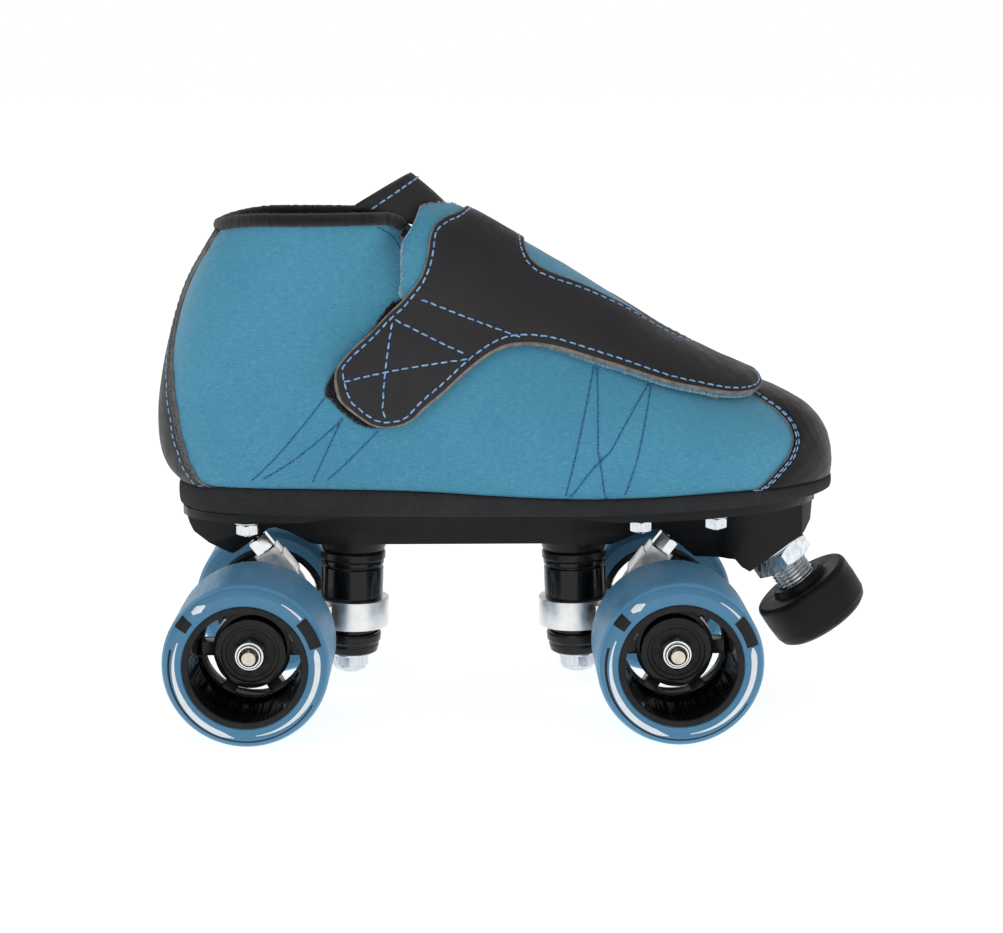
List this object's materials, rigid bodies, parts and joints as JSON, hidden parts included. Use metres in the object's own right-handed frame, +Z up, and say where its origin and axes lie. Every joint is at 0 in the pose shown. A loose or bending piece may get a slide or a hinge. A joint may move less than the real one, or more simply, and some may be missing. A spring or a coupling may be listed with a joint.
{
  "type": "quad roller skate",
  "caption": "Low-cut roller skate boot with strapped lace cover on a nylon plate with steering trucks, wheels on bearings and a screw-in toe stop.",
  "frame": {"origin": "on the floor under the wheels, below the middle of the skate's whole length and on its centre plane", "axes": "+X from heel to toe, +Y to the inner side of this right-foot skate, +Z up"},
  "size_m": [0.2793, 0.1442, 0.2092],
  "materials": {
    "canvas_blue": "plain woven canvas, dull",
    "leather_black": "smooth grained leather, satin",
    "textile_black": "knitted and felt textile, dull",
    "hook_and_loop": "brushed loops and hooks, dull",
    "foam_black": "speckled microcellular rubber, matte",
    "nylon_gloss_black": "moulded nylon, glossy",
    "zinc_steel": "bright zinc plate",
    "chrome_steel": "polished plate",
    "aluminium_satin": "satin cast aluminium",
    "cushion_black": "glossy urethane",
    "painted_black": "satin black",
    "bearing_steel": "ground steel",
    "urethane_blue": "matte cast urethane",
    "rubber_black": "satin moulded rubber",
    "stitch_blue": "twisted thread"
  },
  "bodies": {
    "skate": {"outsole": "foam_black", "insole": "textile_black", "outer_quarter": "canvas_blue", "inner_quarter": "canvas_blue", "lining": "textile_black", "heel_counter": "leather_black", "toe_cap": "leather_black", "collar_binding": "textile_black", "tongue": "leather_black", "eyestays": "leather_black", "laces": "textile_black", "loop_pad": "hook_and_loop", "plate": "nylon_gloss_black", "mounting_bolts": "zinc_steel", "mounting_washers": "zinc_steel", "mounting_nuts": "zinc_steel", "pivot_cups": "cushion_black", "toe_stop_nut": "zinc_steel", "rear_kingpin": "zinc_steel", "rear_kingpin_nut": "zinc_steel", "rear_upper_cushion": "cushion_black", "rear_lower_cushion": "cushion_black", "rear_cushion_retainers": "painted_black", "front_kingpin": "zinc_steel", "front_kingpin_nut": "zinc_steel", "front_upper_cushion": "cushion_black", "front_lower_cushion": "cushion_black", "front_cushion_retainers": "painted_black"},
    "rear_truck": {"rear_hanger": "aluminium_satin", "rear_axle": "chrome_steel", "rear_axle_nuts": "chrome_steel", "rear_pivot_pin": "chrome_steel", "rear_pivot_nut": "chrome_steel", "rear_bearing_races": "bearing_steel"},
    "front_truck": {"front_hanger": "aluminium_satin", "front_axle": "chrome_steel", "front_axle_nuts": "chrome_steel", "front_pivot_pin": "chrome_steel", "front_pivot_nut": "chrome_steel", "front_bearing_races": "bearing_steel"},
    "rear_outer_wheel": {"rear_outer_tyre": "urethane_blue", "rear_outer_hub": "nylon_gloss_black", "rear_outer_bearings": "bearing_steel"},
    "rear_inner_wheel": {"rear_inner_tyre": "urethane_blue", "rear_inner_hub": "nylon_gloss_black", "rear_inner_bearings": "bearing_steel"},
    "front_outer_wheel": {"front_outer_tyre": "urethane_blue", "front_outer_hub": "nylon_gloss_black", "front_outer_bearings": "bearing_steel"},
    "front_inner_wheel": {"front_inner_tyre": "urethane_blue", "front_inner_hub": "nylon_gloss_black", "front_inner_bearings": "bearing_steel"},
    "lace_cover": {"cover_canvas": "canvas_blue", "cover_overlay": "leather_black", "hook_pad": "hook_and_loop"},
    "toe_stop": {"toe_stop_stem": "zinc_steel", "toe_stop_pad": "rubber_black"}
  },
  "joints": [
    {"name": "rear_steer", "type": "hinge", "parent": "skate", "child": "rear_truck", "pos_m": [-0.0656, 0, 0.0351], "axis": [-0.7651, 0, 0.6439], "range_deg": [-10, 10], "stiffness_Nm_per_rad": 20, "deforming": ["rear_upper_cushion", "rear_lower_cushion"]},
    {"name": "front_steer", "type": "hinge", "parent": "skate", "child": "front_truck", "pos_m": [0.0244, 0, 0.0351], "axis": [0.7651, 0, 0.6439], "range_deg": [-10, 10], "stiffness_Nm_per_rad": 20, "deforming": ["front_upper_cushion", "front_lower_cushion"]},
    {"name": "rear_outer_spin", "type": "hinge", "parent": "rear_truck", "child": "rear_outer_wheel", "pos_m": [-0.1009, 0, 0.031], "axis": [0, 1, 0], "continuous": true},
    {"name": "rear_inner_spin", "type": "hinge", "parent": "rear_truck", "child": "rear_inner_wheel", "pos_m": [-0.1009, 0, 0.031], "axis": [0, 1, 0], "continuous": true},
    {"name": "front_outer_spin", "type": "hinge", "parent": "front_truck", "child": "front_outer_wheel", "pos_m": [0.0597, 0, 0.031], "axis": [0, 1, 0], "continuous": true},
    {"name": "front_inner_spin", "type": "hinge", "parent": "front_truck", "child": "front_inner_wheel", "pos_m": [0.0597, 0, 0.031], "axis": [0, 1, 0], "continuous": true},
    {"name": "cover_open", "type": "hinge", "parent": "skate", "child": "lace_cover", "pos_m": [0.0794, 0.0405, 0.1215], "axis": [-0.9275, -0.0717, 0.3668], "range_deg": [0, 105]},
    {"name": "toe_stop_height", "type": "slide", "parent": "skate", "child": "toe_stop", "axis": [0.5736, 0, -0.8192], "range_m": [-0.004, 0.006]}
  ]
}
